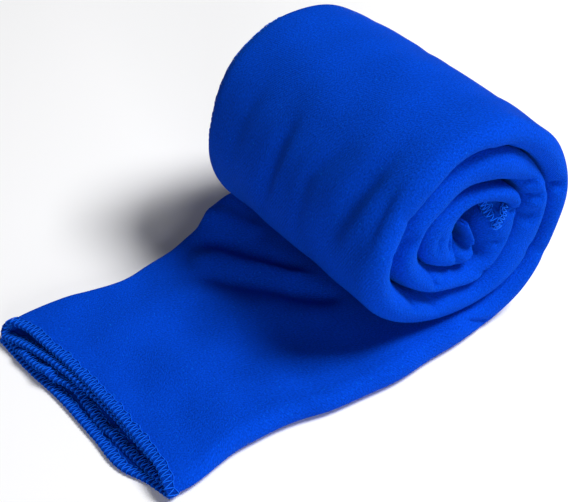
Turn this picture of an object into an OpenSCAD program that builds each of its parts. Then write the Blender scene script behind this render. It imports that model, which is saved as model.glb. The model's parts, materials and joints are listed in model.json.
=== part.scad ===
// Quick dry towel, folded lengthwise into four plies and rolled up from one end.
// The tail lies flat along -X, the roll's axis runs along Y, and the towel rests on z = 0.
// The cloth is one sheet. It is divided here into the turns of the roll and into short
// lengths of tail, because a rigid piece can't bend: the hinges between them let the tail
// lift and wrap round the roll.

/* [Towel] */
// Width of the towel laid out flat
towel_w = 500; // [400:10:560]
// Number of plies that the width is folded into
plies = 4; // [4]
// Width of the overlocked hem
hem_w = 4.2; // [3:0.1:6]

/* [Roll] */
// Height of the roll above the surface that it lies on
roll_h = 104; // [96:1:116]
// How much wider than tall the roll has settled
roll_settle = 1.17; // [1:0.01:1.25]
// Thickness of one turn, which is four plies with the air between them
turn_t = 13.5; // [12:0.1:14.5]
// Air between one turn and the next
turn_gap = 0.4; // [0.2:0.1:0.8]
// Air between one ply and the next
ply_gap = 0.7; // [0.4:0.1:1]

/* [Tail] */
// Length of the tail, from under the middle of the roll to the top ply's hem
tail_run = 154; // [150:1:175]
// How much further the lower plies reach than the upper ones
stagger = 8; // [0:0.5:10]
// How far the roll sits sideways of the tail
skew = 14; // [0:0.5:16]

/* [Bending] */
// Number of places where the tail bends
bends = 7; // [7]
// Largest angle at each bend
bend_max = 25; // [25]
// Air between the wrapped tail and the roll
wrap_gap = 0.8; // [0.5:0.1:2]
// Slit between neighbouring lengths of tail
slit = 0.4; // [0.2:0.1:0.6]

/* [Hidden] */
strip_w = towel_w / plies;
ply_t = (turn_t - (plies - 1) * ply_gap) / plies;
ply_pitch = ply_t + ply_gap;
half_t = turn_t / 2;
step = 6;                                   // degrees between points along a turn
inner_start = 720;                          // where the innermost turn begins
inner_end = 930;                            // and where it gives way to the core
roll_r = (roll_h + half_t) / 2;             // radius where the strip goes under the roll
right_reach = roll_settle * (roll_r - turn_t / 4);
overall_l = right_reach + tail_run + stagger;
roll_x = overall_l / 2 - right_reach;
tail_end = roll_x - tail_run;
roll_near = skew / 2 - strip_w / 2;
roll_far = skew / 2 + strip_w / 2;
tail_near = -skew / 2 - strip_w / 2;
tail_far = -skew / 2 + strip_w / 2;
outer_turn_shift = 4.5;                     // the outer turn leans towards the tail's side
leaf_t = 3.2;                               // the single ply that stands up in the core
leaf_x = 0.5;
core_hem = [6, 3.5];
core_hem_pos = [4.4, 1];
cloth = [0.00, 0.25, 0.78];
cloth_inner = [0.00, 0.20, 0.66];
thread = [0.13, 0.36, 0.92];
$fn = 48;

// Radius of the strip's outer face at an angle from the bottom of the roll, turning
// towards +X first. Each whole turn is one thickness further in.
function spiral_r(a) = roll_r - turn_t * a / 360;

// Point at a depth inside the strip's outer face
function strip_point(a, depth) = [
    roll_x + roll_settle * (spiral_r(a) - depth) * sin(a),
    roll_r - (spiral_r(a) - depth) * cos(a)];

function strip_outline(a0, a1, d0, d1) = concat(
    [for (a = [a0:step:a1]) strip_point(a, d0)],
    [for (a = [a1:-step:a0]) strip_point(a, d1)]);

// The side of the roll that the tail wraps round, and the straight lines that touch it,
// one for each length of wrapped tail
wrap_side = [for (a = [180:step:360]) strip_point(a, 0)];
function facing(i) = [-sin(i * bend_max), -cos(i * bend_max)];
function reach(i) = i == 0 ? -turn_t : max([for (p = wrap_side) p * facing(i)]) + wrap_gap;
function corner(i) =
    let (m = facing(i), n = facing(i + 1), d = m.x * n.y - n.x * m.y)
    [(reach(i) * n.y - reach(i + 1) * m.y) / d, (m.x * reach(i + 1) - n.x * reach(i)) / d];

// The same corners laid out flat are the places where the tail bends
function bend_x(i) = i == 1 ? corner(0).x : bend_x(i - 1) - norm(corner(i - 1) - corner(i - 2));
bend_at = [for (i = [1:bends]) bend_x(i)];
echo(bend_at = bend_at, bend_z = turn_t);

// Carries a profile drawn in X and Z across the roll, from one side to the other
module across(y0, y1) {
    translate([0, y1, 0]) rotate([90, 0, 0]) linear_extrude(y1 - y0) children();
}

// Carries a profile drawn in Y and Z along the tail
module along(x0, x1) {
    translate([x0, 0, 0]) rotate([90, 0, 90]) linear_extrude(x1 - x0) children();
}

// --- The folded strip's profile, in Y and Z ---

function ply_z(i) = i * ply_pitch;

module flat_ply(i, y0, y1) {
    translate([y0, ply_z(i)]) square([y1 - y0, ply_t]);
}

// A fold that joins two plies, bulging towards -Y, or towards +Y when side is 1
module fold(low, high, y, side) {
    r = (ply_z(high) + ply_t - ply_z(low)) / 2;
    translate([y, ply_z(low) + r]) difference() {
        circle(r);
        circle(r - ply_t);
        translate([side > 0 ? -2 * r : 0, -2 * r]) square([2 * r, 4 * r]);
    }
}

// Four plies: two nested folds on the near side, one fold and two open edges on the far
module folded_strip(y0, y1) {
    near = y0 + half_t;
    far = y1 - half_t / 2;
    fold(0, 3, near, -1);
    fold(1, 2, near, -1);
    fold(2, 3, far, 1);
    for (i = [2, 3]) flat_ply(i, near, far);
    for (i = [0, 1]) flat_ply(i, near, y1 - hem_w);
}

module slab(z0, z1) {
    translate([-towel_w, z0]) square([2 * towel_w, z1 - z0]);
}

// --- Tail ---

// Ends of each length of tail, from under the roll outwards
function length_x1(i) = i == 0 ? roll_x : bend_at[i - 1] - slit / 2;
function length_x0(i) = i == bends ? tail_end + hem_w : bend_at[i] + slit / 2;

module tail_cloth(i) {
    color(i % 2 == 0 ? cloth : cloth_inner) {
        along(length_x0(i), length_x1(i)) folded_strip(tail_near, tail_far);
        if (i == bends)
            along(length_x0(i) - stagger, length_x0(i)) intersection() {
                folded_strip(tail_near, tail_far);
                slab(0, half_t);
            }
    }
}

// The towel's two long edges lie on the two lower plies, on the far side
module tail_hem(i, ply) {
    lip = i == bends ? stagger : 0;
    color(thread) along(length_x0(i) - lip, length_x1(i)) flat_ply(ply, tail_far - hem_w, tail_far);
}

// The short edge at the tail's end, which follows the fold
module end_hem(x, z0, z1) {
    color(thread) along(x, x + hem_w) intersection() {
        union() {
            folded_strip(tail_near, tail_far);
            for (i = [0, 1]) flat_ply(i, tail_far - 2 * hem_w, tail_far);
        }
        slab(z0, z1);
    }
}
module end_hem_lower() end_hem(tail_end - stagger, 0, half_t);
module end_hem_upper() end_hem(tail_end, half_t, turn_t);

// --- Roll ---

// One turn of the strip. Its two lower plies stop short of the far side, for the hems.
module turn(a0, a1, shift) {
    across(roll_near - shift, roll_far - shift - hem_w)
        polygon(strip_outline(a0, a1, 0, turn_t - turn_gap));
    across(roll_far - shift - hem_w, roll_far - shift)
        polygon(strip_outline(a0, a1, ply_z(2), turn_t - turn_gap));
}
module outer_turn() color(cloth) turn(0, 360, outer_turn_shift);
module middle_turn() color(cloth_inner) turn(360, inner_start, 0);
module inner_turn() color(cloth) turn(inner_start, inner_end, 0);

module roll_hem(ply) {
    color(thread) {
        across(roll_far - outer_turn_shift - hem_w, roll_far - outer_turn_shift)
            polygon(strip_outline(0, 360, ply_z(ply), ply_z(ply) + ply_t));
        across(roll_far - hem_w, roll_far)
            polygon(strip_outline(360, inner_end, ply_z(ply), ply_z(ply) + ply_t));
    }
}
module roll_hem_lower() roll_hem(0);
module roll_hem_upper() roll_hem(1);

// The first fold of the strip fills the middle of the roll: a plump lobe, a single ply
// standing beside it, and a wedge that ends in the towel's other short hem
module core_outline() {
    polygon(concat(
        [for (a = [inner_start:step:inner_end]) strip_point(a, turn_t)],
        [for (a = [inner_end + step:step:inner_start + 360]) strip_point(a, 0)]));
}
module core_part(x0, x1) {
    across(roll_near, roll_far) intersection() {
        core_outline();
        translate([roll_x + x0, 0]) square([x1 - x0, roll_h]);
    }
}
module core_lobe() color(cloth) core_part(-roll_r, leaf_x - turn_gap);
module core_leaf() color(cloth_inner) core_part(leaf_x, leaf_x + leaf_t);
module core_hem_outline() {
    translate([roll_x + core_hem_pos.x, roll_r + core_hem_pos.y]) square(core_hem);
}
module core_wedge() {
    color(cloth) difference() {
        core_part(leaf_x + leaf_t + turn_gap, roll_r);
        across(roll_near - 1, roll_far + 1) core_hem_outline();
    }
}
module core_end_hem() color(thread) across(roll_near, roll_far) core_hem_outline();

core_lobe();
core_leaf();
core_wedge();
core_end_hem();
inner_turn();
middle_turn();
outer_turn();
roll_hem_lower();
roll_hem_upper();
for (i = [0:bends]) {
    tail_cloth(i);
    tail_hem(i, 0);
    tail_hem(i, 1);
}
end_hem_lower();
end_hem_upper();
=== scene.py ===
# %% [markdown]
# # A quick dry towel, folded in four and rolled up
# The object is one sheet of brushed microfibre, about half a metre wide, with an overlocked
# hem all round. It is folded lengthwise into four plies and rolled from one end, and the
# other end lies flat as a tail. Everything that is seen is that one sheet and its thread, so
# this lesson builds the sheet as a surface over its own flat measurements: how far along the
# towel, and how far across it. Layers modelled one by one would never fit together, and a
# simulation of a tight roll takes far too long, so the folds come from formulas.

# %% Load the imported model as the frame
import json
import math

import bpy
import numpy as np
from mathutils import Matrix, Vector
from mathutils.bvhtree import BVHTree


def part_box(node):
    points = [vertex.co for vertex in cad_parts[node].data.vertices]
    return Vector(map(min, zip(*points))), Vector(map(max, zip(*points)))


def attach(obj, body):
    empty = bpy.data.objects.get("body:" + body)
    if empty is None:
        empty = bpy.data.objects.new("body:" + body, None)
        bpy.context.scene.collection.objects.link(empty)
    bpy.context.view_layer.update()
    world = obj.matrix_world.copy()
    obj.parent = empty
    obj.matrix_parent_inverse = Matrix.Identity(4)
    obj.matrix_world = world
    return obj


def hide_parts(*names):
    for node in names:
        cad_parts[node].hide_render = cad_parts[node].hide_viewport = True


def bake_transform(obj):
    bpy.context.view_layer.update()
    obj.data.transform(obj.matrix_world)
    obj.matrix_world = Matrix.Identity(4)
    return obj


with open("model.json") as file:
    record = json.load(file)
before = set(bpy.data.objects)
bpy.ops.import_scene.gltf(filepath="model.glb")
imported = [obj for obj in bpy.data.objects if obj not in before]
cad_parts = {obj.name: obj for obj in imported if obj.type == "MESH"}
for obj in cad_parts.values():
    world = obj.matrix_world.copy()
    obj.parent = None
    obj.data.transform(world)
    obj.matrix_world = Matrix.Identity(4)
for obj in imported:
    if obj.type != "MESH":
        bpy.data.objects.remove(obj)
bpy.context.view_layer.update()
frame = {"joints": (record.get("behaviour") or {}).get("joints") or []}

# %% [markdown]
# ## Places taken from the frame
# The frame says where the roll's middle is, how high it stands, where the tail ends and
# where it bends. Shapes are worked out in millimetres from the middle of the roll, which is
# how a person would measure a towel, and turned into metres when a mesh is made.

# %% Measure the frame
MM = 0.001


def box_mm(node):
    low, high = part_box(node)
    return np.array(low) / MM, np.array(high) / MM


outer_low, outer_high = box_mm("outer_turn")
middle_low, middle_high = box_mm("middle_turn")
ROLL_X = (outer_low[0] + outer_high[0]) / 2
ROLL_Y = (middle_low[1] + middle_high[1]) / 2
TAIL_END = box_mm("end_hem_upper")[0][0] - ROLL_X
BENDS = [joint["pos_m"][0] / MM - ROLL_X for joint in frame["joints"]]
print(f"roll middle {ROLL_X:.1f}, {ROLL_Y:.1f}; tail ends at {TAIL_END:.1f}")
print("bends at", np.round(BENDS, 1))

# %% [markdown]
# ## Camera
# The camera comes first, because every later choice is judged through it. It looks down at
# the towel from the front left, from a little over half a metre away, so the near end of
# the roll is clearly larger than the far one. A wide lens close by would stretch that end
# too much, and a view from far off would flatten it.

# %% Place the camera
VIEW_TURN, VIEW_RISE = math.radians(-34.8), math.radians(36.8)
VIEW_TARGET = Vector((-0.0065, -0.0076, 0.040))
VIEW_DISTANCE = 0.5775

camera_data = bpy.data.cameras.new("camera")
camera_data.lens = 87.4
camera_data.sensor_width = 36
camera_data.clip_start = 0.01
camera = bpy.data.objects.new("camera", camera_data)
bpy.context.scene.collection.objects.link(camera)
view_back = Vector((
    math.sin(VIEW_TURN) * math.cos(VIEW_RISE),
    -math.cos(VIEW_TURN) * math.cos(VIEW_RISE),
    math.sin(VIEW_RISE)))
camera.location = VIEW_TARGET + VIEW_DISTANCE * view_back
camera.rotation_euler = view_back.to_track_quat("Z", "Y").to_euler()
bpy.context.scene.camera = camera
print("camera at", [round(v, 3) for v in camera.location])

# %% [markdown]
# ## Light and floor
# Brushed cloth shows its shape by shading alone, so the lights are large and soft. The main
# one stands high on the right, and the roll shades the tail beside it. A weaker one low in
# front lights the folded end of the roll. Both are about two metres off, which keeps the
# floor evenly pale. A sun or a spot would cut hard edges that such cloth never shows.

# %% Set up light and floor
scene = bpy.context.scene
scene.view_settings.view_transform = "Standard"


def area_light(name, direction, distance, size, power):
    """A square light that faces the towel from this direction."""
    data = bpy.data.lights.new(name, "AREA")
    data.size = size
    data.energy = power
    light = bpy.data.objects.new(name, data)
    away = Vector(direction).normalized()
    light.location = VIEW_TARGET + distance * away
    light.rotation_euler = away.to_track_quat("Z", "Y").to_euler()
    scene.collection.objects.link(light)


area_light("key", direction=(0.6, -0.38, 1.0), distance=2.0, size=0.7, power=47)
area_light("front", direction=(-0.4, -1.0, 0.32), distance=2.2, size=0.8, power=18)

sky = bpy.data.worlds.new("sky")
sky.use_nodes = True
sky.node_tree.nodes["Background"].inputs["Color"].default_value = (1, 1, 1, 1)
sky.node_tree.nodes["Background"].inputs["Strength"].default_value = 0.1
scene.world = sky

FLOOR_HALF = 4
floor_corners = [(x * FLOOR_HALF, y * FLOOR_HALF, 0)
                 for x, y in ((-1, -1), (1, -1), (1, 1), (-1, 1))]
floor_mesh = bpy.data.meshes.new("floor")
floor_mesh.from_pydata(floor_corners, [], [(0, 1, 2, 3)])
floor = bpy.data.objects.new("floor", floor_mesh)
floor_paint = bpy.data.materials.new("floor_paint")
floor_paint.use_nodes = True
floor_shader = floor_paint.node_tree.nodes["Principled BSDF"]
floor_shader.inputs["Base Color"].default_value = (0.95, 0.95, 0.96, 1)
floor_shader.inputs["Roughness"].default_value = 0.9
floor_mesh.materials.append(floor_paint)
scene.collection.objects.link(floor)

# %% [markdown]
# ## Helpers for soft curves
# Cloth has no straight lines and no sharp corners, so almost every measurement below is a
# few values that a smooth line runs through. `through` draws that line, `ramp` fades from
# nothing to one, and `drift` adds slow unevenness that is the same on every run.

# %% Define the curve helpers
def through(points, x):
    """A smooth line through a few (place, value) points, level beyond its ends."""
    px, py = np.array(points, float).T
    slope = np.gradient(py, px)
    x = np.clip(x, px[0], px[-1])
    i = np.clip(np.searchsorted(px, x) - 1, 0, len(px) - 2)
    width = px[i + 1] - px[i]
    t = (x - px[i]) / width
    start = (1 + 2 * t) * (1 - t) ** 2 * py[i] + t * (1 - t) ** 2 * width * slope[i]
    end = t * t * (3 - 2 * t) * py[i + 1] + t * t * (t - 1) * width * slope[i + 1]
    return start + end


def ramp(x, start, end):
    """0 before start, 1 after end, and a soft step between them."""
    t = np.clip((np.asarray(x, float) - start) / (end - start), 0, 1)
    return t * t * (3 - 2 * t)


def drift(x, y, length, seed):
    """Slow unevenness between about -1 and 1, with waves of about this length."""
    chance = np.random.default_rng(seed)
    total = 0
    for _ in range(6):
        turn, phase = chance.uniform(0, 2 * math.pi, 2)
        wave = 2 * math.pi / (length * chance.uniform(0.7, 1.6))
        total = total + np.sin(wave * (x * math.cos(turn) + y * math.sin(turn)) + phase)
    return total / 3


def distance_along(path):
    """How far each point of a path is from its start, along the path."""
    return np.concatenate([[0], np.cumsum(np.linalg.norm(np.diff(path, axis=0), axis=1))])


print("drift over 50 mm:", np.round(drift(np.arange(0, 60, 10), 0, 30, 1), 2))

# %% [markdown]
# ## The strip's route
# Folded, the towel is a strip four plies thick. From its free end it lies along the floor,
# passes under the roll, climbs the right side and winds inwards. On a rolled strip the
# outside of each turn is the inside of the one before, so a single line, the distance from
# the roll's middle for every angle turned, gives both faces of every turn, and the turns
# nest. Two turns follow that line. The core doesn't, because it was folded over by hand
# before rolling, so it gets a route of its own: pairs of points on its two faces.

# %% Route of the turns
MIDDLE_Z = 53
TURNS_END = 692
TURN_LINE = [  # degrees turned, distance from the roll's middle
    (0, 53), (15, 54), (30, 54), (45, 53.2), (60, 53), (75, 53), (90, 54.2), (104, 53.8),
    (118, 52.8), (135, 51.6), (160, 51.2), (180, 51), (225, 52.5), (250, 55), (270, 57),
    (285, 55.5), (300, 52), (315, 47.8), (330, 44.2), (345, 41.6), (360, 40.3), (387, 40.5),
    (413, 43), (445, 42), (461, 41.6), (474, 40.4), (497, 39), (520, 38.5), (545, 39.6),
    (600, 39.8), (612, 41.4), (625, 43), (640, 41.6), (652, 38.6), (666, 35), (685, 29.9),
    (705, 27.4), (727, 28.5), (739, 28), (758, 26.3), (783, 24.8), (803, 25.8), (820, 28),
    (832, 27.8), (848, 25.6), (865, 23.9), (896, 21.8), (927, 22.6), (945, 24), (960, 27),
    (974, 27), (993, 26.8), (1008, 24.3), (1035, 19.5), (1060, 17.2)]
CORE_FACES = [  # x and z on the outer face, x and z on the inner face
    (-7.5, 26.5, -8.5, 37), (0, 25, -2.5, 36), (5, 25.2, 1.5, 37), (9.5, 27.3, 5, 38.5),
    (14, 31, 6.5, 41), (19, 36.3, 6, 45.5), (23, 42, 5.6, 50), (26, 48, 6.6, 55.5),
    (27.8, 53, 11.5, 58.4), (28, 57, 17.5, 57.8), (26.5, 61, 18, 58.6), (24, 64.3, 17, 59.6),
    (19.5, 68, 14.5, 60.8), (13, 71, 10.5, 62.4), (6.5, 73, 6, 63.8), (0.5, 73.6, 2, 64.2),
    (-5.5, 73.6, -1, 63.4), (-10.5, 72.6, -3.8, 62.2), (-15, 70.5, -6, 60.6),
    (-20, 67.8, -7.4, 58.8), (-23.8, 63, -7.6, 56.8), (-26, 57, -7.4, 54.8),
    (-26, 50.5, -6.8, 52.8), (-22.5, 44.2, -6.2, 50.8), (-16.5, 40.2, -5.4, 49.2),
    (-9, 37.6, -4.6, 47.9), (-3, 36.8, -3.8, 47), (1, 38, -3, 46.6),
    (3, 41.5, -2.2, 46.8), (2.4, 46, -1.6, 48.6), (0.6, 51, -2.6, 51.6), (-1.4, 56, -4.4, 55),
    (-3.4, 59.8, -6, 58.4)]
PAIR_STEP = 1.4  # how far a pair moves, both faces taken together, for 1 mm of strip
TAIL_THICKNESS = [(-166, 11.2), (-120, 10.4), (-60, 10.4), (-30, 11.8), (0, 12.7)]


def turn_point(angle):
    """The place on the line of the turns at this angle, as x and z."""
    reach = through(TURN_LINE, angle)
    turn = np.radians(angle)
    return np.stack([reach * np.sin(turn), MIDDLE_Z - reach * np.cos(turn)], -1)


def smooth_route(pairs, spacing):
    """Evenly spaced pairs of points on a smooth line through the given pairs."""
    pairs = np.array(pairs, float)
    reach = distance_along(pairs) / PAIR_STEP
    at = np.linspace(0, reach[-1], int(reach[-1] / spacing))
    return np.stack([through(list(zip(reach, column)), at) for column in pairs.T], -1)


print("turns:", round(TURNS_END / 360, 2), "then a core of", len(CORE_FACES), "point pairs")

# %% [markdown]
# ## Stations along the strip
# The strip is built from cross-sections, like the ribs of a boat. Each station has a point
# on the strip's outer face, a direction towards its inner face and the thickness between
# them. The tail's stations include the lines halfway between its bends, because the sheet
# is cut into pieces there.

# %% Lay out the stations
STEP = 2.2
TURN_STEP, INNER_STEP = 2.4, 3.3
CORE_DEGREES_PER_MM = 4.5
halfway = [(a + b) / 2 for a, b in zip(BENDS[:-1], BENDS[1:])]
CUTS = [BENDS[0] + (BENDS[0] - BENDS[1]) / 2] + halfway


def tail_places(spacing):
    """Even places along the tail, with one on every cut."""
    places = []
    stops = [TAIL_END] + CUTS[::-1] + [0]
    for start, end in zip(stops[:-1], stops[1:]):
        count = max(2, round((end - start) / spacing))
        places += list(np.linspace(start, end, count, endpoint=False))
    return np.array(places)


tail_x = tail_places(STEP)
angles = np.concatenate([
    np.arange(0, 360, TURN_STEP), np.arange(360, TURNS_END + 0.1, INNER_STEP)])
core_start = (*turn_point(TURNS_END), *turn_point(TURNS_END + 360))
core = smooth_route([core_start] + CORE_FACES, STEP)[1:]
N_TAIL, N_TURNS = len(tail_x), len(angles)
tail = slice(0, N_TAIL)
turn_one = N_TAIL + int(np.argmin(np.abs(angles - 360)))

outer_face = np.concatenate([np.stack([tail_x, 0 * tail_x], -1), turn_point(angles), core[:, :2]])
inner_face = np.concatenate([
    np.stack([tail_x, through(TAIL_THICKNESS, tail_x)], -1), turn_point(angles + 360),
    core[:, 2:]])
thickness = np.linalg.norm(inner_face - outer_face, axis=1)
inward = (inner_face - outer_face) / thickness[:, None]
middle_line = (outer_face + inner_face) / 2
travelled = distance_along(middle_line)
into_core = travelled[N_TAIL + N_TURNS:] - travelled[N_TAIL + N_TURNS - 1]
turned = np.concatenate([
    np.zeros(N_TAIL), angles, TURNS_END + into_core * CORE_DEGREES_PER_MM])
print(f"{len(travelled)} stations over {travelled[-1]:.0f} mm of strip")

# %% [markdown]
# ## The folded profile
# Across the strip the sheet zigzags: from one long hem along the bottom ply, round the big
# fold on the near side, back over the top ply, round the fold on the far side, and in
# again through the two inner plies to the other long hem. The near side is therefore all
# smooth nested folds, and the far side shows a fold and two open hems. Each point across
# the sheet has a share in each ply, so a ply can be lifted or shifted and the folds follow.

# %% Draw the zigzag of one station
FAR_BULGE = 2.2
INNER_FOLD_IN = 5
HEM_STEPS = np.array([0, 0.8, 1.7, 2.7, 3.6, 4.6])
AFTER_HEM = 2
PLY_LEVELS = np.array([0, 0.33, 0.66, 1])
PLY_POINTS = {0: 46, 1: 20, 2: 22, 3: 60}
OUTER_FOLD, FAR_FOLD, INNER_FOLD = 24, 12, 10  # points on each fold


def half_turn(count):
    """Places along a fold, as how far out it stands and how far it has risen."""
    turn = np.linspace(0, math.pi, count + 2)[1:-1]
    return np.sin(turn), (1 - np.cos(turn)) / 2


def ply_share(first, last, rise):
    """The share of each ply in points that rise from one ply to another."""
    share = np.zeros((len(rise), 4))
    share[:, first] = 1 - rise
    share[:, last] += rise
    return share


fold_out = {count: half_turn(count) for count in (OUTER_FOLD, FAR_FOLD, INNER_FOLD)}
SHARES = np.concatenate([
    ply_share(0, 0, np.zeros(PLY_POINTS[0] + len(HEM_STEPS))),
    ply_share(0, 3, fold_out[OUTER_FOLD][1]),
    ply_share(3, 3, np.zeros(PLY_POINTS[3])),
    ply_share(3, 2, fold_out[FAR_FOLD][1]),
    ply_share(2, 2, np.zeros(PLY_POINTS[2])),
    ply_share(2, 1, fold_out[INNER_FOLD][1]),
    ply_share(1, 1, np.zeros(PLY_POINTS[1] + len(HEM_STEPS)))])
RISE = SHARES @ PLY_LEVELS
N_ACROSS = len(RISE)


def across_places(near, far, bulge):
    """Where every point across the sheet lies, from the lower long hem to the upper one."""
    near_bend, far_bend = near + bulge, far - FAR_BULGE
    inner_bulge = bulge / 2
    inner_bend = near + INNER_FOLD_IN + inner_bulge
    hem = far - HEM_STEPS
    inside = far - HEM_STEPS[-1] - AFTER_HEM
    return np.concatenate([
        hem, np.linspace(inside, near_bend, PLY_POINTS[0]),
        near_bend - bulge * fold_out[OUTER_FOLD][0],
        np.linspace(near_bend, far_bend, PLY_POINTS[3]),
        far_bend + FAR_BULGE * fold_out[FAR_FOLD][0],
        np.linspace(far_bend, inner_bend, PLY_POINTS[2]),
        inner_bend - inner_bulge * fold_out[INNER_FOLD][0],
        np.linspace(inner_bend, inside, PLY_POINTS[1]), hem[::-1]])


print("points across the sheet:", N_ACROSS)

# %% [markdown]
# ## Edges of the strip
# The strip isn't quite straight. Its near edge wanders as the tail leaves the roll, its far
# edge draws in along the tail, and the near face of the roll is dished a little towards the
# core. These few numbers are measured across the strip from the roll's middle, and a slow
# drift on top keeps the folded edges from looking machined.

# %% Set the strip's edges
NEAR_TAIL = [
    (-160, -76.5), (-151, -75.6), (-141, -74), (-130, -72.2), (-119, -69.9), (-105, -68.8),
    (-91, -70.1), (-78, -72.4), (-68, -73.4), (-44, -73.8), (-20, -71.4), (0, -68.6)]
FAR_TAIL = [
    (-160, 45), (-152, 46.4), (-136, 45), (-126, 43), (-107, 42.4), (-95, 45), (-82, 48.5),
    (-72, 51.8), (-58, 55.5), (-48, 61.5), (-36, 66), (0, 63)]
NEAR_ROLL = [
    (0, -68.6), (20, -67), (45, -65.6), (90, -64.6), (135, -65.8), (200, -66.5), (270, -67),
    (330, -66), (360, -65.6), (700, -65.5), (1100, -64)]
FAR_ROLL = [
    (0, 63), (45, 63), (90, 64.5), (130, 66.5), (160, 68.8), (190, 69), (215, 68), (240, 64.5),
    (265, 61), (290, 58.5), (360, 58), (700, 57), (1100, 55)]

on_tail = np.arange(len(travelled)) < N_TAIL
station_x = np.where(on_tail, outer_face[:, 0], 0)
near_edge = np.where(on_tail, through(NEAR_TAIL, station_x), through(NEAR_ROLL, turned))
far_edge = np.where(on_tail, through(FAR_TAIL, station_x), through(FAR_ROLL, turned))
near_edge += 0.55 * drift(travelled, 0, length=26, seed=3)
far_edge += 0.8 * drift(travelled, 0, length=34, seed=4)
for side, edge in (("near", near_edge), ("far", far_edge)):
    print(f"{side} edge from {edge.min():.1f} to {edge.max():.1f}")

# %% [markdown]
# ## Soft folds, creases and pinches
# Rolled cloth bunches on the inside of every bend and pulls soft creases across the
# outside. A soft fold is a smooth line with a height and a width. On the tail the folds
# are ridges that run out of the shadow under the roll, on the roll they are shallow
# creases round it, and on the near face they are short pinches beside the grooves.

# %% Helpers for soft folds
LINE_POINTS = 36


def line_gap(x, y, points):
    """How far each place lies from a smooth line, and where along it, from 0 to 1."""
    route = np.array(points, float)
    at = np.linspace(0, len(route) - 1, LINE_POINTS)
    knots = np.arange(len(route))
    line_x, line_y = (through(list(zip(knots, column)), at) for column in route.T)
    gaps = np.hypot(x[..., None] - line_x, y[..., None] - line_y)
    return gaps.min(-1), gaps.argmin(-1) / (LINE_POINTS - 1)


def soft_folds(x, y, folds, taper=0.4):
    """Height of several soft folds together; each is (height, width, points of its line)."""
    total = 0
    for height, width, points in folds:
        gap, along = line_gap(x, y, points)
        ends = ramp(along, 0, taper) * (1 - ramp(along, 1 - taper, 1)) if taper else 1
        total = total + height * ends * np.exp(-(gap / width) ** 2)
    return total


print("each fold's line has", LINE_POINTS, "points")

# %% Place the soft folds
TAIL_FOLDS = [  # points are x and y
    (3.2, 6, [(-62, 58), (-52, 53), (-46, 42), (-40, 31)]),
    (-2.8, 4.5, [(-69, 43), (-59, 39), (-54, 28), (-46, 11), (-38, -5)]),
    (3.2, 6.5, [(-79, 37), (-69, 31), (-60, 19), (-50, 6), (-38, -15)]),
    (-2.4, 5, [(-82, 30), (-72, 17), (-60, 1), (-46, -17), (-36, -28)]),
    (1.8, 8, [(-98, 26), (-82, 4), (-62, -18), (-44, -36)]),
    (-0.7, 9, [(-118, 22), (-100, -6), (-76, -30), (-56, -48)]),
    (0.8, 8, [(-140, 34), (-128, 2), (-116, -34), (-108, -60)]),
    (-0.6, 7, [(-146, 10), (-140, -22), (-132, -56)])]
MM_PER_DEGREE = 0.93
ROLL_FOLDS = [  # points are degrees turned and y
    (2.1, 4.0, [(222, 6), (240, 7), (262, 7), (284, 12)]),
    (1.7, 3.8, [(216, -26), (236, -21), (248, -16), (264, -17), (286, -15)]),
    (2.7, 5.0, [(200, -47), (226, -47), (241, -44), (254, -41), (276, -36)]),
    (1.6, 3.2, [(222, -58), (244, -59), (264, -61)]),
    (1.3, 5.0, [(214, 33), (236, 34), (256, 34), (278, 35)]),
    (-0.9, 3.2, [(234, -1), (252, -1), (274, 2)]),
    (-1.2, 3.5, [(218, -55), (238, -53), (255, -50), (270, -46)]),
    (-0.8, 6, [(200, -34), (230, -34), (262, -29)]),
    (0.7, 5, [(110, 20), (135, 12), (165, 8)]),
    (0.6, 5, [(120, -30), (150, -34), (180, -40)])]
PINCHES = [  # points are x and z
    (3.4, 1.8, [(20, 69.5), (30, 67)]), (3.4, 1.8, [(27, 61), (34, 59)]),
    (4.2, 3, [(27.5, 51.5), (31.5, 49.5)]), (4, 2, [(41, 61), (46.5, 59.5)]),
    (2.6, 1.4, [(-35.5, 38.5), (-31.5, 30)]), (2.6, 1.5, [(-25, 32), (-20, 24.5)]),
    (2.2, 1.8, [(8.5, 91), (16.5, 89.5)]), (2, 1.8, [(-4, 93), (1, 93)]),
    (2, 1.1, [(10, 43), (15.5, 42.5)]), (2.6, 1.3, [(20, 55.8), (25.5, 55.6)]),
    (2.4, 1.3, [(-27.5, 49), (-22.5, 42.5), (-20.5, 36)]),
    (4, 2.3, [(-35, 64), (-40.3, 57), (-39.8, 48.4), (-34.5, 38.7), (-24.2, 30.4), (-15.7, 27)]),
    (2.5, 1.7, [(-27.2, 82), (-22, 84.8), (-13.1, 87.4), (-4.7, 89.7), (1.8, 91.2)]),
    (5, 1.8, [(-0.9, 58.4), (3.7, 48.1), (6.7, 38.5)]),
    (5, 1.5, [(-7.8, 56), (-3.4, 49.1), (0.7, 43.8)]),
    (2.4, 1, [(-8.8, 52), (-8.4, 45), (-7, 40.5)]),
    (2, 1.5, [(-20.4, 42.5), (-11.8, 38.1), (-3.4, 37)]),
    (2.2, 1.2, [(-11.5, 56.5), (-12.3, 52), (-11, 47.5)]),
    (1.2, 1.2, [(-18.5, 57.5), (-19.5, 53)]), (0.9, 1, [(-25, 60), (-18, 58)]),
    (1.6, 1, [(7, 39.5), (7, 36.5)]), (1.4, 1.4, [(10, 29), (1, 33)]),
    (1, 1.6, [(-17.5, 36), (-13, 38.5)]), (2.2, 1.6, [(-6, 11), (8, 5)]),
    (1.4, 2.4, [(34, 31), (40, 27)]), (1.2, 2, [(-44, 62), (-38, 66)]),
    (1, 2, [(-40, 78), (-34, 72)])]
print("soft folds:", [len(folds) for folds in (TAIL_FOLDS, ROLL_FOLDS, PINCHES)])

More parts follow.
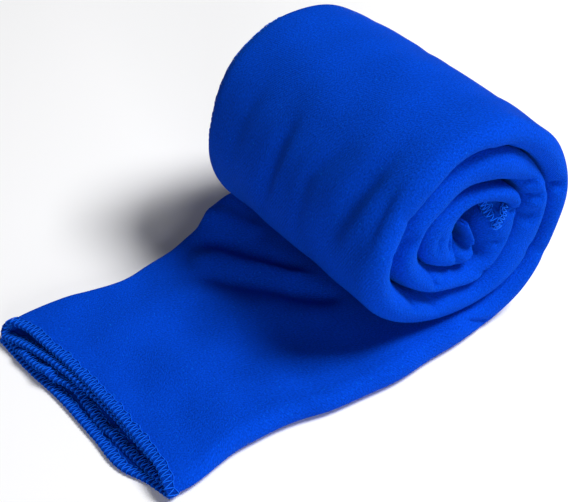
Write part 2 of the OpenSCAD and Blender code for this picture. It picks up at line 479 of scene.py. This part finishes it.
# %% [markdown]
# ## The middle of the sheet
# Now the sheet itself: a grid of points, one row for each station and one column for each
# place across. A single grid can't come apart at a fold, as separate layers would. Each
# point gets a place across the strip and a height inside it, and later cells move those
# two. The near folds bulge more where the roll is loose and less where it is tight.

# %% Lay the sheet through its stations
CLOTH_T = 0.95
GROOVE = 0.35
MOST_BULGE = 0.62  # of the strip's thickness
BULGE = [  # degrees turned, how far the near folds bulge
    (0, 5.6), (90, 5), (160, 6), (220, 7.5), (290, 8.5), (345, 8), (400, 5.6), (450, 5.6),
    (520, 7.5), (590, 9), (660, 9), (720, 6.5), (780, 6.5), (850, 6), (900, 8), (990, 7.5),
    (1100, 6)]
bulge = np.minimum(through(BULGE, turned), MOST_BULGE * thickness)
place_y = np.stack([across_places(*edges) for edges in zip(near_edge, far_edge, bulge)])
half_cloth = CLOTH_T / 2
gap = np.where(on_tail, 0, GROOVE)[:, None]
height = half_cloth + gap + RISE * (thickness[:, None] - 2 * gap - CLOTH_T)

near_at, far_at = near_edge[:, None], far_edge[:, None]
SET_BACK = [  # degrees turned, how far the core's inner plies stand back from the near face
    (690, 0), (760, 2), (800, 7), (840, 6), (900, 1.5), (1000, 2), (1100, 1.5)]
nearness = ramp(-place_y, -near_at - 40, -near_at)
place_y += through(SET_BACK, turned)[:, None] * RISE ** 1.5 * nearness
print(f"near folds bulge {bulge.min():.1f} to {bulge.max():.1f} mm")

# %% [markdown]
# ## Hems that carry the cloth
# An overlocked hem is thicker than its cloth. On the floor it lifts the lowest ply a
# little, and at the roll's far end the outer hem curls in, which makes that end round and
# dark. Both are small moves beside an edge, which a formula sets more surely than a
# simulation would.

# %% Lift the lowest ply by the thickness of its stitches
HEM_LIFT = 0.85
long_hem_near = ramp(place_y, far_at - 9, far_at - 5)
end_hem_near = ramp(-outer_face[:, 0], -TAIL_END - 9, -TAIL_END - 5)[:, None] * on_tail[:, None]
height += HEM_LIFT * SHARES[:, 0] * np.maximum(long_hem_near, end_hem_near)
print(f"lowest point of the tail: {height[tail].min() - half_cloth:.2f} mm")

# %% Curl the outer hem in over the roll's far end
CURL_W, CURL_IN = 12, 6.6
OPEN_HEM_BACK, FOLD_BACK = 7.5, 2.5  # how far the inner plies end short of the outer hem
on_roll = np.where(on_tail, 0.0, ramp(turned, 20, 70))[:, None]
farness = ramp(place_y, far_at - 40, far_at)
place_y -= on_roll * farness * (OPEN_HEM_BACK * SHARES[:, 1] + FOLD_BACK * SHARES[:, 2:].sum(1))
curl = np.clip((place_y - far_at + CURL_W) / CURL_W, 0, 1) ** 2 * SHARES[:, 0] * on_roll
height += CURL_IN * curl
place_y -= 1.5 * curl
print(f"the outer hem curls in by up to {CURL_IN * curl.max():.1f} mm")

# %% [markdown]
# ## The tail's plies
# At the tail's end the four plies don't stop in one line, because they slid over each
# other when the strip was rolled, and they have sagged into waves. Each ply has a line for
# where it ends and one for how high it lies there. Only the last length of tail is shifted,
# so the cuts between lengths stay straight. Nearer the roll come the ridges, highest in
# the top ply.

# %% Shift and sag the plies at the tail's end
END_LINES = [  # for each ply: y, x where it ends
    [(-80, -155), (-70, -156.5), (-62, -158.5), (-53, -162.5), (-30, -163.5), (0, -164.5),
     (20, -166.8), (46, -168)],
    [(-75, -154), (-60, -156), (-40, -158), (-22, -159), (-5, -158.8), (6, -163), (20, -165.5),
     (46, -166.5)],
    [(-75, -153), (-40, -154), (-16, -155.6), (0, -158), (20, -161.6), (46, -168)],
    [(-80, -158), (-74, -156.6), (-66, -154.6), (-50, -153.8), (-30, -154), (-5, -155.2),
     (20, -158), (36, -160.4), (46, -164.5)]]
END_HEIGHTS = [  # for each ply: y, height at its end
    [(-80, 1.3), (44, 1.3)],
    [(-75, 3.4), (-55, 2.8), (-35, 2.6), (-18, 3), (-6, 4.8), (6, 5.8), (24, 4.6), (46, 2)],
    [(-75, 6), (-50, 7.4), (-20, 8.2), (0, 8.5), (25, 7.2), (38, 5), (46, 3.4)],
    [(-80, 4.8), (-70, 7.2), (-55, 9), (-30, 10.2), (0, 10.6), (25, 10.8), (44, 10.2)]]
SAG_START = -118
tail_grid_x = np.repeat(tail_x[:, None], N_ACROSS, 1)
tail_grid_y = place_y[tail]
to_end = np.clip((CUTS[-1] - tail_grid_x) / (CUTS[-1] - TAIL_END), 0, 1)
end_x = sum(SHARES[:, n] * through(END_LINES[n], tail_grid_y) for n in range(4))
end_z = sum(SHARES[:, n] * through(END_HEIGHTS[n], tail_grid_y) for n in range(4))
sheet_x = tail_grid_x + to_end * (end_x - TAIL_END)
sag = ramp(-tail_grid_x, -SAG_START, -TAIL_END)
height[tail] += sag * (end_z - height[tail])
ripple = SHARES[:, 1] * sag * np.sin(tail_grid_y * 0.42 + 0.06 * tail_grid_x)
height[tail] += 0.9 * ripple * ramp(tail_grid_y, -60, -30)
print("plies end at", [round(float(end_x[0, SHARES[:, n] == 1].mean()), 1) for n in range(4)])

# %% Raise the tail's ridges
FAR_LIFT = 4.8
INNER_FADE = 1.4  # how fast a fold dies out from one ply to the next
clear_of_roll = 1 - ramp(tail_grid_x, -40, -22)
lift = soft_folds(tail_grid_x, tail_grid_y, TAIL_FOLDS, taper=0.2) * clear_of_roll
lift += FAR_LIFT * ramp(tail_grid_y, 34, 62) * ramp(tail_grid_x, -88, -50) * clear_of_roll
lift += 0.4 * drift(tail_grid_x, tail_grid_y, length=30, seed=5) * clear_of_roll
height[tail] += RISE ** INNER_FADE * lift
print(f"ridges from {lift.min():.1f} to {lift.max():.1f} mm")

# %% [markdown]
# ## Creases on the roll
# Round the outer turn the cloth is pulled, so its creases are shallow and run with the
# turn. On the near face short pinches push the folds in beside the grooves. Sculpting by
# hand would give the same forms, but only until the route changes.

# %% Crease the outer turn
CROWN, CROWN_HALF_W = 1.6, 64
outer = slice(N_TAIL, turn_one + 1)
angle = turned[outer, None]
around = np.repeat(angle * MM_PER_DEGREE, N_ACROSS, 1)
roll_folds = [(h, w, [(a * MM_PER_DEGREE, y) for a, y in points]) for h, w, points in ROLL_FOLDS]
crease = soft_folds(around, place_y[outer], roll_folds)
crease += 0.35 * drift(around, place_y[outer], length=28, seed=6)
fade = ramp(angle, 30, 90) * (1 - ramp(angle, 300, 345))
crown = CROWN * (1 - (place_y[outer] / CROWN_HALF_W) ** 2)
crown *= ramp(angle, 60, 110) * (1 - ramp(angle, 170, 215))
height[outer] += (1 - RISE) ** INNER_FADE * fade * (crease - crown)
print(f"creases up to {crease.max():.1f} mm deep")

# %% Set every point in place and pinch the near face
mid = np.zeros((len(travelled), N_ACROSS, 3))
mid[:, :, 0] = outer_face[:, None, 0] + inward[:, None, 0] * height
mid[:, :, 1] = place_y
mid[:, :, 2] = outer_face[:, None, 1] + inward[:, None, 1] * height
mid[tail, :, 0] = sheet_x
near_face = ramp(-place_y, -near_at - 22, -near_at - 6)
rolled = np.where(on_tail, ramp(station_x, -14, 0), 1)[:, None]
mid[:, :, 1] += soft_folds(mid[:, :, 0], mid[:, :, 2], PINCHES, taper=0) * near_face * rolled
print("sheet grid:", mid.shape)

# %% [markdown]
# ## Thickness and hems
# The cloth is about a millimetre thick, a little more along its hems where the overlock
# stitches pull it into a soft roll. The thick sheet is made from the middle grid by
# stepping out along its normals on both sides, which a Solidify modifier would do as well,
# but here each point's flat place on the towel is kept too. The weave is drawn in those
# flat measurements, so its ribs run straight along the cloth through every fold.

# %% Work out normals, thickness and flat places
HEM_W = 4.2
HEM_PAD, SEAM_DIP = 0.22, 0.12


def unit(vectors):
    """The same directions with a length of one."""
    return vectors / np.maximum(np.linalg.norm(vectors, axis=-1, keepdims=True), 1e-9)


normals = unit(np.cross(np.gradient(mid, axis=1), np.gradient(mid, axis=0)))
gaps_across = np.linalg.norm(np.diff(mid, axis=1), axis=2)
flat_across = np.concatenate([np.zeros((len(mid), 1)), np.cumsum(gaps_across, axis=1)], axis=1)
from_edge = np.minimum(flat_across, flat_across[:, -1:] - flat_across)
from_end = travelled[:, None] - travelled[0]
hem_depth = np.minimum(from_edge, from_end)
half_thick = half_cloth + HEM_PAD * (1 - ramp(hem_depth, HEM_W - 1.2, HEM_W))
half_thick -= SEAM_DIP * np.exp(-((hem_depth - HEM_W) / 0.5) ** 2)
print(f"the sheet is {flat_across[:, -1].mean():.0f} mm by {travelled[-1]:.0f} mm in the model,",
      f"and {2 * half_thick.min():.2f} to {2 * half_thick.max():.2f} mm thick")


# %% Helpers that make objects
def to_frame(points):
    """From millimetres beside the roll's middle to metres in the frame."""
    return (np.asarray(points) + np.array([ROLL_X, ROLL_Y, 0])) * MM


def new_object(name, verts, faces):
    """A smooth-shaded object from points in millimetres."""
    mesh = bpy.data.meshes.new(name)
    mesh.from_pydata(to_frame(verts).tolist(), [], faces)
    mesh.polygons.foreach_set("use_smooth", [True] * len(mesh.polygons))
    mesh.update()
    obj = bpy.data.objects.new(name, mesh)
    scene.collection.objects.link(obj)
    return obj


def keep_map(obj, name, places):
    """Keep a pair of measurements for each point, in metres, as a UV map."""
    mesh = obj.data
    corners = np.zeros(len(mesh.loops), int)
    mesh.loops.foreach_get("vertex_index", corners)
    layer = mesh.uv_layers.new(name=name)
    layer.data.foreach_set("uv", (places[corners] * MM).ravel())


print("the roll's middle in the frame:", np.round(to_frame((0, 0, MIDDLE_Z)), 4))

# %% [markdown]
# ## Cutting the sheet where it bends
# The real towel is one piece, but here a piece can follow only two bodies at once. So the
# tail is cut between its bends, and the outer turn is kept apart from the inner ones.
# Neighbours share a whole row of points, so no seam shows.

# %% Make a closed piece of cloth from a run of stations
SHARP = math.radians(62)


def sheet_piece(name, first, last):
    """The thick sheet from one station to another, closed all round."""
    rows = last - first + 1
    run = slice(first, last + 1)
    step = normals[run] * half_thick[run, :, None]
    loop = np.concatenate([mid[run] + step, (mid[run] - step)[:, ::-1]], axis=1)
    width = loop.shape[1]
    i, j = np.meshgrid(np.arange(rows - 1), np.arange(width), indexing="ij")
    a, b = i * width + j, i * width + (j + 1) % width
    sides = np.stack([a, b, b + width, a + width], -1).reshape(-1, 4)
    j = np.arange(N_ACROSS - 1)
    cap = np.stack([width - 1 - j, width - 2 - j, j + 1, j], -1)
    far_cap = cap[:, ::-1] + (rows - 1) * width
    obj = new_object(name, loop.reshape(-1, 3), np.concatenate([sides, cap, far_cap]).tolist())
    along = np.repeat(travelled[run, None], width, 1)
    across = np.concatenate([flat_across[run], flat_across[run, ::-1]], axis=1)
    keep_map(obj, "flat_cloth", np.stack([along, across], -1).reshape(-1, 2))
    depth = np.concatenate([hem_depth[run], hem_depth[run, ::-1]], axis=1)
    keep_map(obj, "hem_depth", np.stack([depth, depth], -1).reshape(-1, 2))
    obj.data.set_sharp_from_angle(angle=SHARP)
    print(f"{name}: {rows} stations, {len(obj.data.polygons)} faces")
    return obj


cut_at = [int(np.argmin(np.abs(tail_x - cut))) for cut in CUTS]
tail_runs = list(zip(cut_at[1:] + [0], cut_at))
tail_cloth = [sheet_piece(f"cloth_tail_{n + 1}", *run) for n, run in enumerate(tail_runs)]
cloth_outer = sheet_piece("cloth_outer_turn", cut_at[0], turn_one)
cloth_inner = sheet_piece("cloth_inner_turns", turn_one, len(mid) - 1)

# %% [markdown]
# ## Overlock stitches
# The hem is overlocked: a needle thread runs in short stitches a few millimetres in from
# the edge, and two looper threads zigzag between it and the edge, one on each face,
# meeting in loops on the rim. Each thread is swept as a thin tube along a path worked out
# from the sheet, because at this size the loops change the towel's outline, which a
# texture can't do.

# %% Sweep a thread along a path
THREAD_SIDES = 5


def tube(path, radius):
    """A round tube along a path, as points and faces."""
    path = np.asarray(path)
    ahead = unit(np.gradient(path, axis=0))
    side = np.zeros_like(path)
    side[0] = unit(np.cross(ahead[0], [0.3, 0.5, 0.8]))
    for k in range(1, len(path)):
        side[k] = unit(side[k - 1] - ahead[k] * np.dot(side[k - 1], ahead[k]))
    other = np.cross(ahead, side)
    turn = (np.arange(THREAD_SIDES) * 2 * math.pi / THREAD_SIDES)[None, :, None]
    ring = np.cos(turn) * side[:, None] + np.sin(turn) * other[:, None]
    verts = (path[:, None] + radius * ring).reshape(-1, 3)
    i, j = np.meshgrid(np.arange(len(path) - 1), np.arange(THREAD_SIDES), indexing="ij")
    a, b = i * THREAD_SIDES + j, i * THREAD_SIDES + (j + 1) % THREAD_SIDES
    faces = np.stack([a, b, b + THREAD_SIDES, a + THREAD_SIDES], -1).reshape(-1, 4).tolist()
    first_end = list(range(THREAD_SIDES))[::-1]
    last_end = list(range(len(verts) - THREAD_SIDES, len(verts)))
    return verts, faces + [first_end, last_end]


def threads_object(name, paths):
    """One object from several (path, radius) threads."""
    all_verts, all_faces, flat, count = [], [], [], 0
    for path, radius in paths:
        verts, faces = tube(path, radius)
        run = distance_along(path)
        around_thread = np.tile(np.arange(THREAD_SIDES), len(run))
        flat.append(np.stack([np.repeat(run, THREAD_SIDES), around_thread], -1))
        all_verts.append(verts)
        all_faces += [[v + count for v in face] for face in faces]
        count += len(verts)
    obj = new_object(name, np.concatenate(all_verts), all_faces)
    keep_map(obj, "flat_cloth", np.concatenate(flat))
    print(f"{name}: {len(paths)} threads, {len(obj.data.polygons)} faces")
    return obj


print("points of a thread through three places:", len(tube(np.eye(3), 0.2)[0]))

# %% Draw an overlock seam along an edge
STITCH = 2.4
NEEDLE_R, LOOPER_R = 0.2, 0.24
# share of a stitch, mm in from the edge, mm out from the middle of the cloth
LOOPER_SHAPE = [(0, HEM_W, 0.62), (0.2, 2.6, 0.98), (0.36, 1.0, 0.98), (0.45, 0, 0.7),
                (0.5, -0.28, 0.1), (0.55, 0, 0.7), (0.64, 1.0, 0.98), (0.8, 2.6, 0.98)]
NEEDLE_SHAPE = [(0, HEM_W, 0), (0.16, HEM_W, 0.62), (0.5, HEM_W, 0.74), (0.84, HEM_W, 0.62)]


def edge_paths(edge, inwards, facing, scale=1.0):
    """The needle and looper threads along an edge, on both faces of the cloth."""
    run = distance_along(edge)
    stitches = max(1, int(run[-1] / (STITCH * scale)))
    size = run[-1] / stitches

    def at(shape, side):
        steps = np.array([(n + s, depth, out) for n in range(stitches) for s, depth, out in shape])
        place = steps[:, 0] * size
        spot, into, out = (
            np.stack([np.interp(place, run, column) for column in grid.T], -1)
            for grid in (edge, inwards, facing))
        uneven = 1 + 0.2 * drift(place, side * 9, length=4, seed=11)[:, None]
        return spot + unit(into) * steps[:, 1:2] * uneven * scale + unit(out) * side * steps[:, 2:]

    return [(at(LOOPER_SHAPE, 1), LOOPER_R), (at(LOOPER_SHAPE, -1), LOOPER_R),
            (at(NEEDLE_SHAPE, 1), NEEDLE_R), (at(NEEDLE_SHAPE, -1), NEEDLE_R)]


def long_hem(column, inner_column, first, last):
    """The threads along one side of the sheet, which is one column of its grid."""
    run = slice(first, last + 1)
    edge = mid[run, column]
    return edge_paths(edge, mid[run, inner_column] - edge, normals[run, column])


def hems(first, last):
    """The threads of both long hems over a run of stations."""
    return long_hem(0, 3, first, last) + long_hem(-1, -4, first, last)


end_hem = edge_paths(mid[0], mid[3] - mid[0], normals[0])
tail_thread = [threads_object(f"thread_tail_{n + 1}", hems(*run) + (end_hem if run[0] == 0 else []))
               for n, run in enumerate(tail_runs)]

# %% [markdown]
# ## The corner in the core
# Where the towel's first end is tucked into the core, one corner of its hem peeps out as a
# small stitched triangle. It is a flap of the same cloth that lies on the folds behind it.
# Rays sent in from the near side find those folds, so the flap rests on them wherever they
# happen to be, which placing it by hand wouldn't keep. Two of its edges carry the overlock,
# in smaller stitches because they are drawn tight, and the third, where the sheet goes on
# out of sight, is plain.

# %% Find the folds behind the corner
RAY_START, NO_HIT = -90, -58
core_tree = BVHTree.FromPolygons([v.co for v in cloth_inner.data.vertices],
                                 [tuple(p.vertices) for p in cloth_inner.data.polygons])


def on_core(x, z, proud):
    """The place where a line from the near side meets the core, a little proud of it."""
    start = Vector(to_frame((x, RAY_START, z)))
    hit = core_tree.ray_cast(start, Vector((0, 1, 0)))[0]
    y = hit.y / MM - ROLL_Y if hit else NO_HIT
    return np.array([x, y - proud, z])


CORNER = np.array([(4.4, 65.4), (19.2, 58.6), (11.8, 49.8)])
print("folds behind the corner at y", [round(on_core(x, z, 0)[1], 1) for x, z in CORNER])

# %% Lay the corner on them
CORNER_STEPS = 16
FLAP_T, FLAP_GAP = 1.0, 0.5
EVEN_OUT_R, EVEN_OUT_TIMES = 2.4, 3
flap_places = [(i, j) for i in range(CORNER_STEPS + 1) for j in range(CORNER_STEPS + 1 - i)]
number = {place: n for n, place in enumerate(flap_places)}


def corner_place(i, j):
    """A place on the corner's triangle, this many steps from its first point."""
    u, v = i / CORNER_STEPS, j / CORNER_STEPS
    return CORNER[0] * (1 - u - v) + CORNER[1] * u + CORNER[2] * v


flap_flat = np.array([corner_place(*place) for place in flap_places])
flap_top = np.array([on_core(*place, FLAP_GAP + FLAP_T) for place in flap_flat])
close_by = [np.hypot(*(flap_flat - place).T) < EVEN_OUT_R for place in flap_flat]
for _ in range(EVEN_OUT_TIMES):
    flap_top[:, 1] = [np.median(flap_top[close, 1]) for close in close_by]
flap_under = flap_top + np.array([0, FLAP_T, 0])

steps = range(CORNER_STEPS)
flap_faces = [(number[i, j], number[i, j + 1], number[i + 1, j])
              for i, j in flap_places if i + j < CORNER_STEPS]
flap_faces += [(number[i + 1, j], number[i, j + 1], number[i + 1, j + 1])
               for i, j in flap_places if i + j < CORNER_STEPS - 1]
rim = ([number[i, 0] for i in steps] + [number[CORNER_STEPS - i, i] for i in steps]
       + [number[0, CORNER_STEPS - i] for i in steps])
count = len(flap_top)
flap_all = flap_faces + [tuple(v + count for v in face[::-1]) for face in flap_faces]
flap_all += [(b, a, a + count, b + count) for a, b in zip(rim, rim[1:] + rim[:1])]
flap = new_object("cloth_core_corner", np.concatenate([flap_top, flap_under]), flap_all)
keep_map(flap, "flat_cloth", np.tile(flap_flat, (2, 1)))
keep_map(flap, "hem_depth", np.zeros((2 * count, 2)))
print("cloth_core_corner:", len(flap_all), "faces")

# %% Stitch the corner and the roll
edge_steps = range(CORNER_STEPS + 1)
edge_a = flap_top[[number[0, CORNER_STEPS - i] for i in edge_steps]]
edge_b = flap_top[[number[i, CORNER_STEPS - i] for i in edge_steps]]
centre = flap_top.mean(axis=0)
near_side = np.tile([0.0, -1.0, 0.0], (CORNER_STEPS + 1, 1))
corner_thread = []
for edge, scale in ((edge_a, 0.9), (edge_b, 0.7)):
    edge = edge + np.array([0, FLAP_T / 2, 0])
    across_edge = np.cross(unit(edge[-1] - edge[0]), near_side[0])
    across_edge *= np.sign(np.dot(across_edge, centre - edge[0]))
    inwards = np.tile(across_edge, (CORNER_STEPS + 1, 1))
    corner_thread += edge_paths(edge, inwards, near_side, scale=scale)
roll_thread = threads_object("thread_roll", hems(cut_at[0], len(mid) - 1) + corner_thread)

# %% [markdown]
# ## Brushed microfibre
# The cloth is a fine knit with a brushed nap: a short uneven fuzz, a close diagonal rib
# that shows through it in patches, and a few stray fibres, whose glints are painted in as
# lighter specks. Under the stitches the colour is darkened, as painted shade for the shade
# that the thread casts. Cloth and thread both use the pattern, so it is one node group,
# which puts out a shade, a painted glint mask and a height. Fibres as geometry would need
# millions of faces.

# %% Node group: knit and nap
knit = bpy.data.node_groups.new("knit_and_nap", "ShaderNodeTree")
for label, start in (
        ("Rib Size", 0.9), ("Rib Depth", 0.5), ("Nap Size", 0.7), ("Nap Depth", 0.5),
        ("Flecks", 0.5), ("Hem Depth", 1.0), ("Hem Shade", 1.0)):
    socket = knit.interface.new_socket(label, in_out="INPUT", socket_type="NodeSocketFloat")
    socket.default_value = start
knit.interface.new_socket("Place", in_out="INPUT", socket_type="NodeSocketVector")
for label in ("Shade", "Fleck", "Height"):
    knit.interface.new_socket(label, in_out="OUTPUT", socket_type="NodeSocketFloat")
nodes, links = knit.nodes, knit.links
group_in = nodes.new("NodeGroupInput")
group_out = nodes.new("NodeGroupOutput")


def plug(value, socket):
    """Set a socket to a number, or join another socket to it."""
    if isinstance(value, (int, float)):
        socket.default_value = value
    else:
        links.new(value, socket)


def math_node(operation, *values):
    node = nodes.new("ShaderNodeMath")
    node.operation = operation
    for socket, value in zip(node.inputs, values):
        plug(value, socket)
    return node.outputs[0]


def plus(a, b):
    return math_node("ADD", a, b)


def minus(a, b):
    return math_node("SUBTRACT", a, b)


def times(a, b):
    return math_node("MULTIPLY", a, b)


def between(value, low, high):
    return math_node("MINIMUM", math_node("MAXIMUM", value, low), high)


def noise(scale, detail, rough, stretch=(1, 1, 1)):
    """Noise over the flat cloth, with this many lumps to a metre."""
    place = nodes.new("ShaderNodeVectorMath")
    place.operation = "MULTIPLY"
    links.new(group_in.outputs["Place"], place.inputs[0])
    place.inputs[1].default_value = stretch
    node = nodes.new("ShaderNodeTexNoise")
    links.new(place.outputs[0], node.inputs["Vector"])
    plug(scale, node.inputs["Scale"])
    node.inputs["Detail"].default_value = detail
    node.inputs["Roughness"].default_value = rough
    return node.outputs["Fac"]


print("inputs:", [item.name for item in knit.interface.items_tree if item.in_out == "INPUT"])

# %% The rib, the nap and the painted shade under the hem's stitches
SLANT_X, SLANT_Y = 0.62, 0.78
WANDER = 0.0016
HEM_START, HEM_EDGE = 0.0037, 1600.0
ribs_per_metre = math_node("DIVIDE", 1000, group_in.outputs["Rib Size"])
nap_per_metre = math_node("DIVIDE", 1000, group_in.outputs["Nap Size"])
split = nodes.new("ShaderNodeSeparateXYZ")
links.new(group_in.outputs["Place"], split.inputs[0])
slant = plus(times(split.outputs[0], SLANT_X), times(split.outputs[1], SLANT_Y))
slant = plus(slant, times(noise(scale=55, detail=2, rough=0.5), WANDER))
rib = math_node("SINE", times(times(slant, ribs_per_metre), 2 * math.pi))
patches = times(minus(noise(scale=38, detail=2, rough=0.6), 0.4), 4.0)
rib = times(times(rib, group_in.outputs["Rib Depth"]), between(patches, 0.1, 1.0))
nap = times(minus(noise(nap_per_metre, detail=3, rough=0.65), 0.5), group_in.outputs["Nap Depth"])
cloud = minus(noise(scale=45, detail=3, rough=0.55), 0.5)
# painted shade: the colour is darkened over the hem band, for the shade the stitches cast
past_hem = times(minus(group_in.outputs["Hem Depth"], HEM_START), HEM_EDGE)
on_hem = minus(1.0, between(past_hem, 0.0, 1.0))
painted_hem_shade = times(on_hem, minus(1.0, group_in.outputs["Hem Shade"]))
links.new(plus(times(rib, 0.3), times(nap, 1.6)), group_out.inputs["Height"])
shade = plus(plus(times(rib, 0.08), times(nap, 1.3)), times(cloud, 0.35))
links.new(times(plus(shade, 1.0), minus(1.0, painted_hem_shade)), group_out.inputs["Shade"])

# %% Stray fibres, painted as glints
FIBRE_STRETCH = (1, 0.35, 1)
GLINT_START, GLINT_EDGE = 0.64, 12.0
# painted glints: sparse lighter specks, for stray fibres that catch the light
fibres = noise(times(nap_per_metre, 1.1), detail=2, rough=0.6, stretch=FIBRE_STRETCH)
painted_glint = times(times(minus(fibres, GLINT_START), GLINT_EDGE), group_in.outputs["Flecks"])
links.new(between(painted_glint, 0.0, 1.0), group_out.inputs["Fleck"])
print("knit_and_nap:", len(nodes), "nodes")

# %% [markdown]
# ## The two finishes
# Cloth and thread are the same fibre, but the thread is tight and lighter, and the cloth is
# matt. The soft bright edge of a nap comes from the shader's sheen, because it has to
# follow the viewer, which a painted rim can't. What is reflected is tinted blue, since
# light that leaves the fuzz has passed through dyed fibres.

# %% Build the two finishes
NAP_RISE = 0.0004


def towel_finish(name, colour, glint_colour, rough, sheen, bump, has_hem, **values):
    """A material with the knit pattern; the values are the pattern's own inputs."""
    finish = bpy.data.materials.new(name)
    finish.use_nodes = True
    tree = finish.node_tree
    shader = tree.nodes["Principled BSDF"]
    place = tree.nodes.new("ShaderNodeUVMap")
    place.uv_map = "flat_cloth"
    pattern = tree.nodes.new("ShaderNodeGroup")
    pattern.node_tree = knit
    for label, value in values.items():
        pattern.inputs[label.replace("_", " ")].default_value = value
    tree.links.new(place.outputs["UV"], pattern.inputs["Place"])
    if has_hem:
        hem = tree.nodes.new("ShaderNodeUVMap")
        hem.uv_map = "hem_depth"
        split_hem = tree.nodes.new("ShaderNodeSeparateXYZ")
        tree.links.new(hem.outputs["UV"], split_hem.inputs[0])
        tree.links.new(split_hem.outputs["X"], pattern.inputs["Hem Depth"])
    shaded = tree.nodes.new("ShaderNodeVectorMath")
    shaded.operation = "SCALE"
    shaded.inputs[0].default_value = colour
    tree.links.new(pattern.outputs["Shade"], shaded.inputs["Scale"])
    # the glint mask mixes the painted glint colour into the base colour
    mix = tree.nodes.new("ShaderNodeMix")
    mix.data_type = "RGBA"
    tree.links.new(pattern.outputs["Fleck"], mix.inputs["Factor"])
    tree.links.new(shaded.outputs[0], mix.inputs["A"])
    mix.inputs["B"].default_value = (*glint_colour, 1)
    tree.links.new(mix.outputs["Result"], shader.inputs["Base Color"])
    relief = tree.nodes.new("ShaderNodeBump")
    relief.inputs["Strength"].default_value = bump
    relief.inputs["Distance"].default_value = NAP_RISE
    tree.links.new(pattern.outputs["Height"], relief.inputs["Height"])
    tree.links.new(relief.outputs["Normal"], shader.inputs["Normal"])
    for label, value in (
            ("Roughness", rough), ("Specular IOR Level", 0.05),
            ("Specular Tint", (0.02, 0.35, 1, 1)), ("Sheen Weight", sheen),
            ("Sheen Roughness", 0.45), ("Sheen Tint", (0.02, 0.42, 1, 1))):
        shader.inputs[label].default_value = value
    return finish


microfibre = towel_finish(
    # glint_colour is the painted glint of stray fibres
    "microfibre", colour=(0.001, 0.05, 0.53), glint_colour=(0.004, 0.19, 0.85),
    rough=0.95, sheen=0.1, bump=0.6, has_hem=True,
    # Hem_Shade darkens the cloth under the stitches as painted shade
    Rib_Size=1.05, Rib_Depth=0.8, Nap_Size=0.8, Nap_Depth=1.3, Flecks=0.35, Hem_Shade=0.6)
hem_thread = towel_finish(
    "hem_thread", colour=(0.005, 0.11, 0.80), glint_colour=(0.03, 0.3, 0.98),
    rough=0.6, sheen=0.3, bump=0.3, has_hem=False,
    Rib_Size=0.6, Rib_Depth=0.7, Nap_Size=0.4, Nap_Depth=0.4, Flecks=0.6)
all_cloth = tail_cloth + [cloth_outer, cloth_inner, flap]
all_thread = tail_thread + [roll_thread]
for pieces, finish, slot in ((all_cloth, microfibre, "cloth"), (all_thread, hem_thread, "thread")):
    for piece in pieces:
        piece.data.materials.append(finish)
    print(f"{finish.name} on {len(pieces)} pieces in the slot {slot}")

# %% [markdown]
# ## Movement
# The roll is one body and the tail is a chain of seven more. Each piece of tail cloth runs
# from the middle of one length to the middle of the next, with their bend halfway. The
# roll's pieces are attached to the roll's body; the tail's pieces only have their placement
# baked into their points.

# %% Attach the roll's pieces and bake the tail's pieces in place
for piece in (cloth_outer, cloth_inner, flap, roll_thread):
    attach(piece, "roll")
bend_ends = CUTS[1:] + [2 * BENDS[-1] - CUTS[-1]]
for n, (start, end) in enumerate(zip(CUTS, bend_ends)):
    for piece in (tail_cloth[n], tail_thread[n]):
        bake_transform(piece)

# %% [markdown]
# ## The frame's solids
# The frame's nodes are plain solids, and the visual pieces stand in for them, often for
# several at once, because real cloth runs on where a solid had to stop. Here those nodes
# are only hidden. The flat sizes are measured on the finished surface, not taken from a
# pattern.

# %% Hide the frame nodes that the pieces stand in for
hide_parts("outer_turn", "tail_cloth_0")
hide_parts("middle_turn", "inner_turn", "core_lobe", "core_leaf", "core_wedge")
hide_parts("roll_hem_lower", "roll_hem_upper", "core_end_hem",
            "tail_hem_lower_0", "tail_hem_upper_0")
for n, (cloth, thread) in enumerate(zip(tail_cloth, tail_thread), start=1):
    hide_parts(f"tail_cloth_{n}")
    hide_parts(f"tail_hem_lower_{n}", f"tail_hem_upper_{n}")
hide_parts("end_hem_lower", "end_hem_upper")
print("pieces with nodes:", 3 + 2 * len(tail_cloth))
